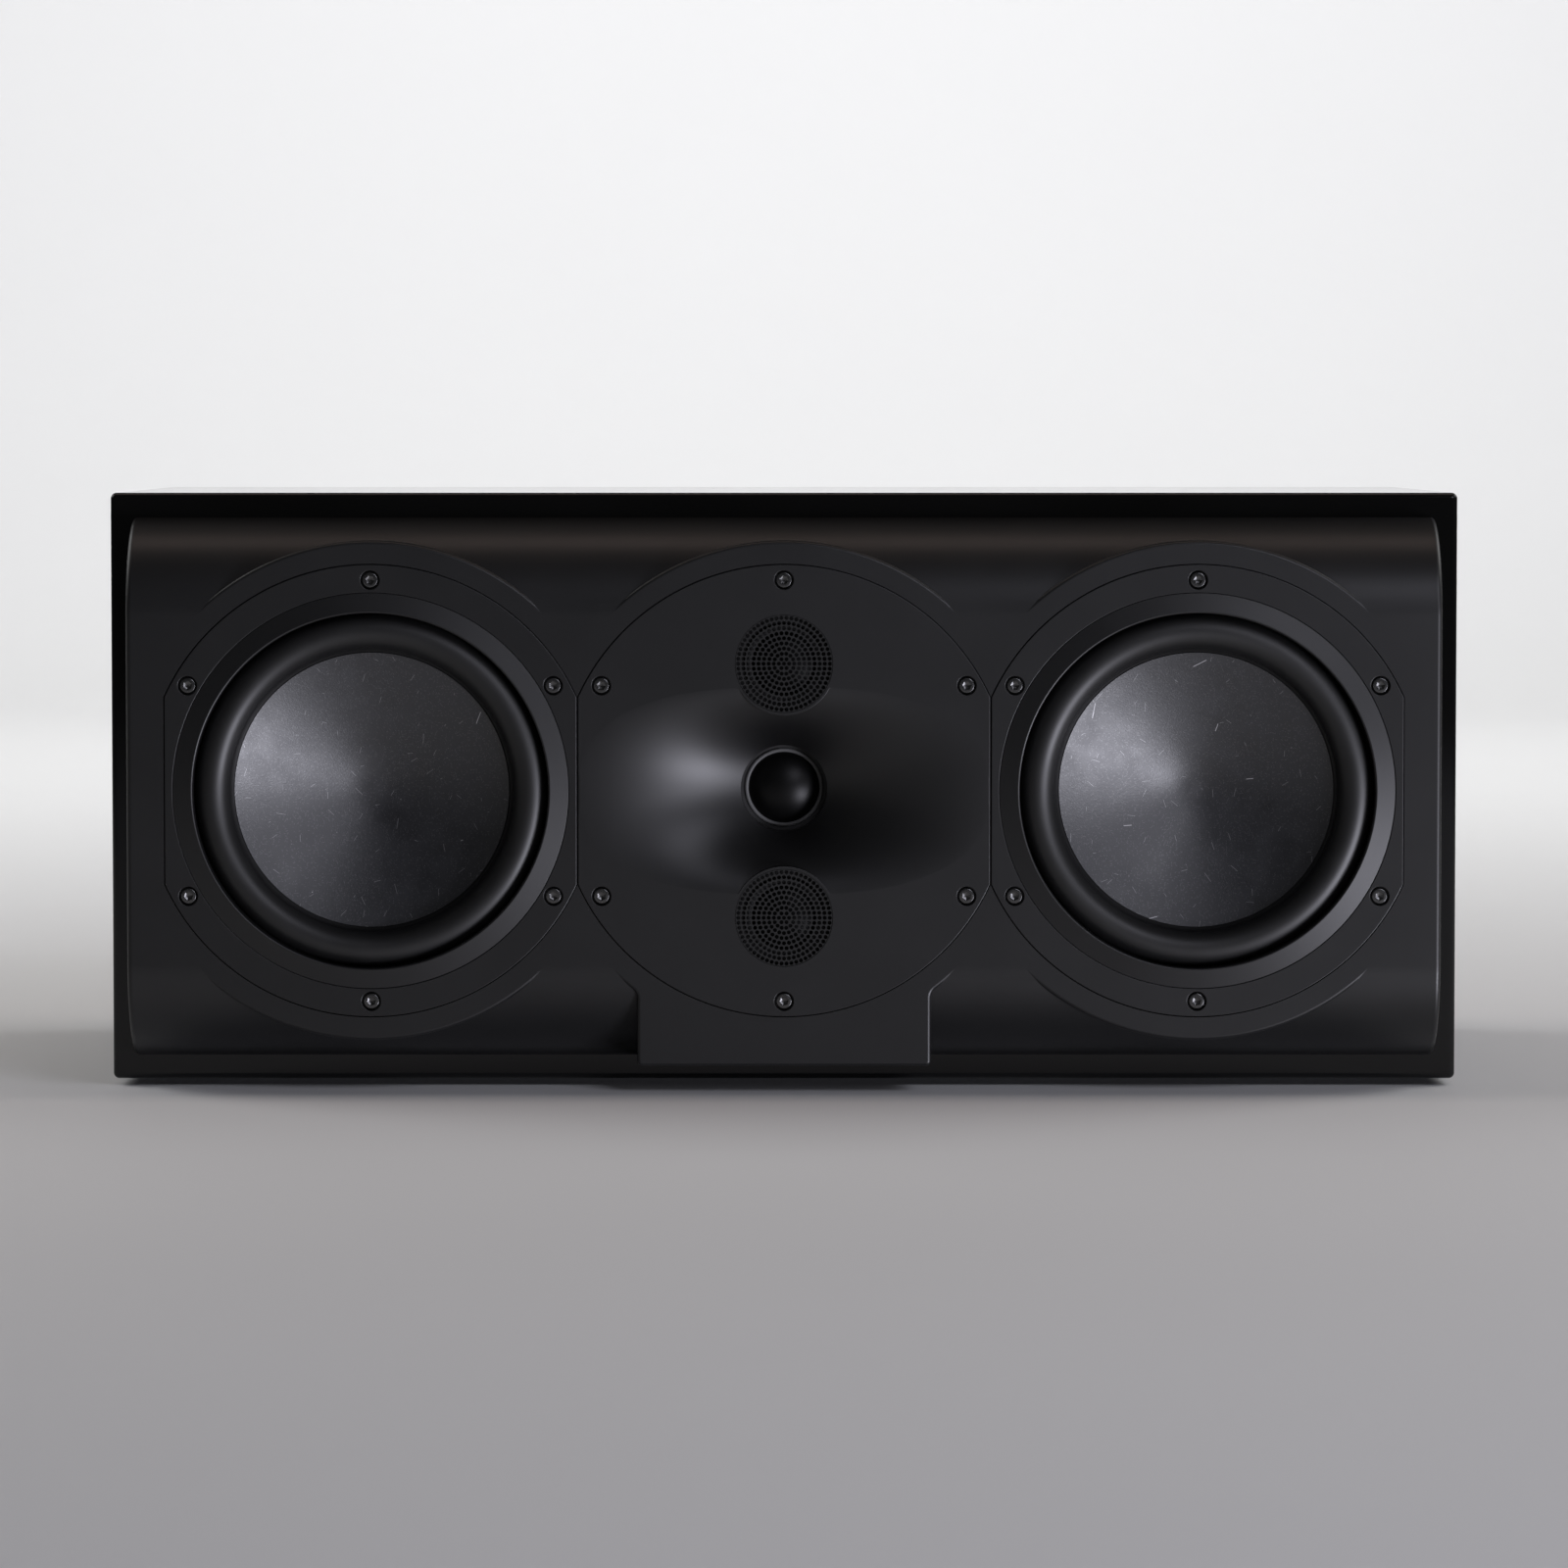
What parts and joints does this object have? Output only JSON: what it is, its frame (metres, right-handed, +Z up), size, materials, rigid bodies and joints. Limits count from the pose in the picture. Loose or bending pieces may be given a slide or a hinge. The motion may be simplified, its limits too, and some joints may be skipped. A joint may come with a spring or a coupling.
{
  "type": "center channel speaker",
  "caption": "Wide low loudspeaker for under a screen: gloss black box, shaped satin front, woofers either side of a waveguide tweeter between grilled domes, binding posts behind.",
  "frame": {"origin": "middle of the whole part's box at its base, where the feet stand", "axes": "+X along the width, to the right seen from the front; +Y from the front to the back; +Z up"},
  "size_m": [0.55, 0.3284, 0.243],
  "materials": {
    "black_gloss_lacquer": "deep gloss black lacquer over fibreboard",
    "black_satin_lacquer": "satin black lacquer with a fine tooth",
    "black_satin_casting": "satin black paint on cast aluminium",
    "black_satin_moulding": "satin black moulding with a fine tooth",
    "surround_rubber": "smooth black rubber",
    "graphite_cone": "dark graphite fibre sheet with pale flecks",
    "spider_cloth": "resin-stiffened woven cloth",
    "copper_wire": "enamelled copper windings",
    "zinc_steel": "zinc-plated steel",
    "ferrite": "matt black ferrite",
    "black_steel": "black oxide steel",
    "black_grille_steel": "satin black perforated steel",
    "black_dome": "smooth semi-gloss black dome",
    "dome_cloth": "coated dark cloth",
    "fibreboard": "raw fibreboard",
    "wadding": "white polyester wadding",
    "foot_rubber": "matt black rubber",
    "terminal_moulding": "fine-grained black moulding",
    "plated_brass": "gold-plated brass",
    "red_cap_plastic": "clear-coated red plastic",
    "black_cap_plastic": "gloss black plastic",
    "circuit_board": "green solder-masked laminate",
    "capacitor_film": "yellow wrapped film"
  },
  "bodies": {
    "enclosure": {"cabinet_shell": "black_gloss_lacquer", "front_baffle": "black_satin_lacquer", "left_brace": "fibreboard", "right_brace": "fibreboard", "damping_pads": "wadding", "rubber_feet": "foot_rubber", "waveguide_plate": "black_satin_moulding", "waveguide_screws": "black_steel", "terminal_panel": "terminal_moulding", "terminal_screws": "black_steel", "terminal_studs": "plated_brass", "crossover_standoffs": "terminal_moulding", "crossover_board": "circuit_board", "crossover_coils": "copper_wire", "crossover_capacitors": "capacitor_film", "left_woofer_basket": "black_satin_casting", "left_woofer_trim_ring": "black_satin_moulding", "left_woofer_top_plate": "zinc_steel", "left_woofer_magnet": "ferrite", "left_woofer_yoke": "zinc_steel", "left_woofer_screws": "black_steel", "right_woofer_basket": "black_satin_casting", "right_woofer_trim_ring": "black_satin_moulding", "right_woofer_top_plate": "zinc_steel", "right_woofer_magnet": "ferrite", "right_woofer_yoke": "zinc_steel", "right_woofer_screws": "black_steel", "tweeter_top_plate": "zinc_steel", "tweeter_magnet": "ferrite", "tweeter_yoke": "zinc_steel", "upper_mid_top_plate": "zinc_steel", "upper_mid_magnet": "ferrite", "upper_mid_yoke": "zinc_steel", "lower_mid_top_plate": "zinc_steel", "lower_mid_magnet": "ferrite", "lower_mid_yoke": "zinc_steel", "upper_grille": "black_grille_steel", "lower_grille": "black_grille_steel"},
    "left_woofer_diaphragm": {"left_woofer_cone": "graphite_cone", "left_woofer_voice_coil": "copper_wire", "left_woofer_surround": "surround_rubber", "left_woofer_spider": "spider_cloth"},
    "right_woofer_diaphragm": {"right_woofer_cone": "graphite_cone", "right_woofer_voice_coil": "copper_wire", "right_woofer_surround": "surround_rubber", "right_woofer_spider": "spider_cloth"},
    "tweeter_diaphragm": {"tweeter_dome": "black_dome", "tweeter_voice_coil": "copper_wire", "tweeter_surround": "dome_cloth"},
    "upper_mid_diaphragm": {"upper_mid_dome": "black_dome", "upper_mid_voice_coil": "copper_wire", "upper_mid_surround": "dome_cloth"},
    "lower_mid_diaphragm": {"lower_mid_dome": "black_dome", "lower_mid_voice_coil": "copper_wire", "lower_mid_surround": "dome_cloth"},
    "red_post_washer": {"red_washer": "plated_brass"},
    "red_post_cap": {"red_cap": "red_cap_plastic"},
    "black_post_washer": {"black_washer": "plated_brass"},
    "black_post_cap": {"black_cap": "black_cap_plastic"}
  },
  "joints": [
    {"name": "left_woofer_excursion", "type": "slide", "parent": "enclosure", "child": "left_woofer_diaphragm", "axis": [0, -1, 0], "range_m": [-0.006, 0.006], "stiffness_N_per_m": 1000, "deforming": ["left_woofer_surround", "left_woofer_spider"]},
    {"name": "right_woofer_excursion", "type": "slide", "parent": "enclosure", "child": "right_woofer_diaphragm", "axis": [0, -1, 0], "range_m": [-0.006, 0.006], "stiffness_N_per_m": 1000, "deforming": ["right_woofer_surround", "right_woofer_spider"]},
    {"name": "tweeter_excursion", "type": "slide", "parent": "enclosure", "child": "tweeter_diaphragm", "axis": [0, -1, 0], "range_m": [-0.0005, 0.0005], "stiffness_N_per_m": 1500, "deforming": ["tweeter_surround"]},
    {"name": "upper_mid_excursion", "type": "slide", "parent": "enclosure", "child": "upper_mid_diaphragm", "axis": [0, -1, 0], "range_m": [-0.0005, 0.0005], "stiffness_N_per_m": 1500, "deforming": ["upper_mid_surround"]},
    {"name": "lower_mid_excursion", "type": "slide", "parent": "enclosure", "child": "lower_mid_diaphragm", "axis": [0, -1, 0], "range_m": [-0.0005, 0.0005], "stiffness_N_per_m": 1500, "deforming": ["lower_mid_surround"]},
    {"name": "red_washer_slide", "type": "slide", "parent": "enclosure", "child": "red_post_washer", "axis": [0, 1, 0], "range_m": [0, 0.00208]},
    {"name": "red_cap_turn", "type": "hinge", "parent": "red_post_washer", "child": "red_post_cap", "pos_m": [0.022, 0.1378, 0.123], "axis": [0, 1, 0], "range_deg": [0, 600]},
    {"name": "black_washer_slide", "type": "slide", "parent": "enclosure", "child": "black_post_washer", "axis": [0, 1, 0], "range_m": [0, 0.00208]},
    {"name": "black_cap_turn", "type": "hinge", "parent": "black_post_washer", "child": "black_post_cap", "pos_m": [-0.022, 0.1378, 0.123], "axis": [0, 1, 0], "range_deg": [0, 600]}
  ],
  "couplings": [
    {"joint": "red_washer_slide", "follows": "red_cap_turn", "m_per_rad": 0.00019894},
    {"joint": "black_washer_slide", "follows": "black_cap_turn", "m_per_rad": 0.00019894}
  ]
}
